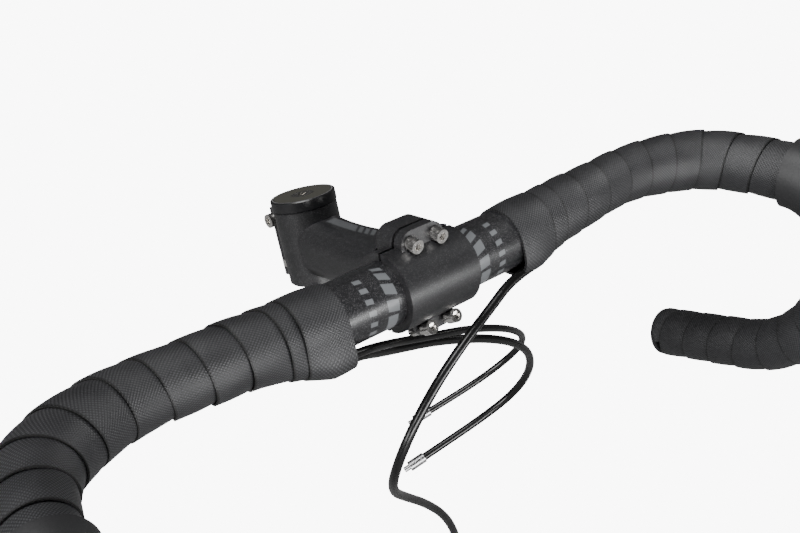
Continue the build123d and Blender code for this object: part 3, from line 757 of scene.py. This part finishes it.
class COCKPIT_OT_stem(bpy.types.Operator):
    """Finishes the stem, its faceplate, top cap and bolts"""

    bl_idname = "cockpit.stem"
    bl_label = "Finish Stem"

    def execute(self, context):
        tints = context.scene.cockpit_colours
        rise = math.radians(STEM_RISE)
        ahead = (0.0, -math.cos(rise), math.sin(rise))
        above = (0.0, math.sin(rise), math.cos(rise))

        def stripe(tree, place):
            """A stripe along the neck's top that breaks into slanting bars near the clamp."""
            x, _, _ = tree.split(place)
            run = tree.math("MULTIPLY", tree.dot(place, ahead), 1000.0)
            across = tree.math("MULTIPLY", x, 1000.0)
            high = tree.math("GREATER_THAN", tree.math("MULTIPLY", tree.dot(place, above), 1000.0), 20.5)
            slanted = tree.math("MULTIPLY_ADD", across, 0.9, run)
            bars = tree.math("GREATER_THAN", tree.math("FRACT", tree.math("DIVIDE", slanted, 5.2)), 0.36)
            solid = tree.math("LESS_THAN", slanted, 40.0)
            bars = tree.math("MULTIPLY", bars, tree.math("LESS_THAN", slanted, 62.0))
            shown = tree.math("MAXIMUM", solid, bars)
            for low, high_limit, value in ((-1.5, 4.6, across), (17.0, 66.0, run)):
                shown = tree.math("MULTIPLY", shown, tree.math("GREATER_THAN", value, low))
                shown = tree.math("MULTIPLY", shown, tree.math("LESS_THAN", value, high_limit))
            return tree.math("MULTIPLY", tree.math("MULTIPLY", shown, high), 0.5)

        dress("stem_body", finish_paint("Stem Paint", tints.paint, 0.16, 0.38, stripe))
        dress("faceplate", finish_paint("Faceplate Paint", tints.paint, 0.12, 0.36))
        bolt = finish_metal("Bolt Steel", (0.90, 0.88, 0.85), 0.20)
        for node in ("faceplate_bolts", "steerer_clamp_bolts", "top_cap_bolt"):
            dress(node, bolt)
        dress("top_cap", self.cap(tints))
        return {"FINISHED"}

    def cap(self, tints):
        """Satin black rim, a paler ring and a matte olive disc on top."""
        made, tree, shader = material("Cap Matte", roughness=0.42)
        place = tree.place()
        rake = math.radians(STEM_RAKE)
        height = tree.dot(place, (0.0, math.sin(rake), math.cos(rake)))
        squared = tree.math("SUBTRACT", tree.dot(place, place), tree.math("MULTIPLY", height, height))
        radius = tree.math("SQRT", squared)
        upper = tree.math("GREATER_THAN", height, CAP_TOP - 0.0003)
        disc = tree.math("MULTIPLY", upper, tree.math("LESS_THAN", radius, CAP_DISC_R))
        ring = tree.math("MULTIPLY", upper, tree.math("COMPARE", radius, CAP_RING_R, CAP_RING_HALF))
        group = group_once("Moulded Scuffs", scuffs)
        skin = tree.group(group, Place=place, Base=colour(tints.cap), Grain=1400.0, Roughness=0.5)
        rim = tree.mix(disc, (0.009, 0.009, 0.010, 1), skin["Color"])
        tree.feed(shader.inputs["Base Color"], tree.mix(ring, rim, (0.16, 0.16, 0.16, 1)))
        tree.feed(shader.inputs["Roughness"], tree.smooth(disc, 0, 1, 0.30, 0.55))
        tree.feed(shader.inputs["Normal"], tree.bump(skin["Height"], 0.00002))
        return made


class COCKPIT_OT_levers(bpy.types.Operator):
    """Finishes the hoods, brackets, brake levers, shift paddle and their pins"""

    bl_idname = "cockpit.levers"
    bl_label = "Finish Levers"

    def execute(self, context):
        tints = context.scene.cockpit_colours
        rubber = finish_moulded("Hood Rubber", tints.rubber, 0.46, grain=1100.0, depth=0.00006)
        bracket = finish_moulded("Bracket Plastic", (0.014, 0.014, 0.015), 0.5)
        blade = finish_paint("Lever Anodising", (0.016, 0.016, 0.018), 0.3, 0.3)
        paddle = finish_moulded("Paddle Plastic", (0.018, 0.018, 0.019), 0.42, coat=0.1)
        steel = finish_metal("Pin Steel", (0.6, 0.6, 0.61), 0.26)
        for side in ("left", "right"):
            dress(f"hood_{side}", rubber)
            dress(f"lever_bracket_{side}", bracket)
            dress(f"brake_lever_{side}", blade)
            for node in ("lever_pivot", "bracket_band", "band_bolt"):
                dress(f"{node}_{side}", steel)
        dress("shift_paddle_right", paddle)
        dress("paddle_pin_right", steel)
        return {"FINISHED"}


class COCKPIT_OT_stage(bpy.types.Operator):
    """Adds the pale floor, the soft lights and the camera"""

    bl_idname = "cockpit.stage"
    bl_label = "Set Stage"

    def execute(self, context):
        scene = context.scene
        floor_z = CAD_BOX[0].z - 0.03
        mesh = bpy.data.meshes.new("floor")
        corners = [(-12, -12), (12, -12), (12, 12), (-12, 12)]
        mesh.from_pydata([(x, y, floor_z) for x, y in corners], [], [(0, 1, 2, 3)])
        floor = bpy.data.objects.new("floor", mesh)
        scene.collection.objects.link(floor)
        made, tree, shader = material("Floor Pale", roughness=0.9, Specular_IOR_Level=0.1)
        wide = tree.noise(tree.place(), 1.5)
        tree.feed(shader.inputs["Base Color"], tree.mix(wide, (0.20, 0.20, 0.20, 1), (0.23, 0.23, 0.23, 1)))
        glow = tree.node("ShaderNodeEmission")
        glow.inputs["Strength"].default_value = 9.0
        seen = tree.node("ShaderNodeMixShader")
        tree.feed(seen.inputs[0], tree.node("ShaderNodeLightPath").outputs["Is Camera Ray"])
        tree.feed(seen.inputs[1], shader.outputs[0])
        tree.feed(seen.inputs[2], glow.outputs[0])
        output = next(node for node in tree.tree.nodes if node.type == "OUTPUT_MATERIAL")
        tree.feed(output.inputs["Surface"], seen.outputs[0])
        mesh.materials.append(made)

        world = bpy.data.worlds.new("Studio")
        world.use_nodes = True
        world.node_tree.nodes["Background"].inputs["Color"].default_value = (1, 1, 1, 1)
        world.node_tree.nodes["Background"].inputs["Strength"].default_value = 0.07
        scene.world = world
        middle = Vector(to_row((0, -20, -20)))
        lights = [
            ("front_panel", (-0.1, -1.5, 0.02), (2.2, 0.34), 44.0),
            ("top_panel", (-0.4, 0.1, 1.5), (0.8, 0.8), 24.0),
            ("side_panel", (1.4, -0.2, 0.7), (0.6, 0.6), 8.0),
            ("left_panel", (-1.5, 0.0, 0.6), (0.9, 0.9), 26.0),
        ]
        for name, place, size, power in lights:
            light = bpy.data.lights.new(name, "AREA")
            light.shape = "RECTANGLE"
            light.size, light.size_y = size
            light.energy = power
            lamp = bpy.data.objects.new(name, light)
            lamp.location = place
            lamp.rotation_euler = (middle - Vector(place)).to_track_quat("-Z", "Y").to_euler()
            scene.collection.objects.link(lamp)

        lens = bpy.data.cameras.new("view")
        lens.sensor_width = 36.0
        lens.lens = 45.36
        lens.clip_start, lens.clip_end = 0.01, 20.0
        turn, tilt = math.radians(-40.18), math.radians(32.02)
        back = Vector((math.sin(turn) * math.cos(tilt), -math.cos(turn) * math.cos(tilt), math.sin(tilt)))
        right = Vector((math.cos(turn), math.sin(turn), 0))
        placed = Matrix((right, back.cross(right), back)).transposed().to_4x4()
        placed.translation = Vector(to_row((-270.3, -305.55, 261.3)))
        camera = bpy.data.objects.new("view", lens)
        camera.matrix_world = placed
        scene.collection.objects.link(camera)
        scene.camera = camera
        return {"FINISHED"}


STEPS = (
    COCKPIT_OT_stage,
    COCKPIT_OT_casings,
    COCKPIT_OT_tape,
    COCKPIT_OT_handlebar,
    COCKPIT_OT_stem,
    COCKPIT_OT_levers,
)


class COCKPIT_PT_panel(bpy.types.Panel):
    """Lists the cockpit's sizes, colours and steps"""

    bl_label = "Drop Handlebar Cockpit"
    bl_idname = "COCKPIT_PT_panel"
    bl_space_type = "VIEW_3D"
    bl_region_type = "UI"
    bl_category = "Cockpit"

    def draw(self, context):
        for held in (context.scene.cockpit_tape, context.scene.cockpit_colours):
            box = self.layout.box()
            for name in held.bl_rna.properties.keys():
                if name not in ("rna_type", "name"):
                    box.prop(held, name)
        for step in STEPS:
            self.layout.operator(step.bl_idname)


CLASSES = (CockpitTape, CockpitColours, *STEPS, COCKPIT_PT_panel)


def register():
    for kind in CLASSES:
        bpy.utils.register_class(kind)
    bpy.types.Scene.cockpit_tape = bpy.props.PointerProperty(type=CockpitTape)
    bpy.types.Scene.cockpit_colours = bpy.props.PointerProperty(type=CockpitColours)


def unregister():
    del bpy.types.Scene.cockpit_colours
    del bpy.types.Scene.cockpit_tape
    for kind in reversed(CLASSES):
        bpy.utils.unregister_class(kind)


def main():
    register()
    for step in STEPS:
        group, name = step.bl_idname.split(".")
        getattr(getattr(bpy.ops, group), name)()


if __name__ == "__main__":
    main()
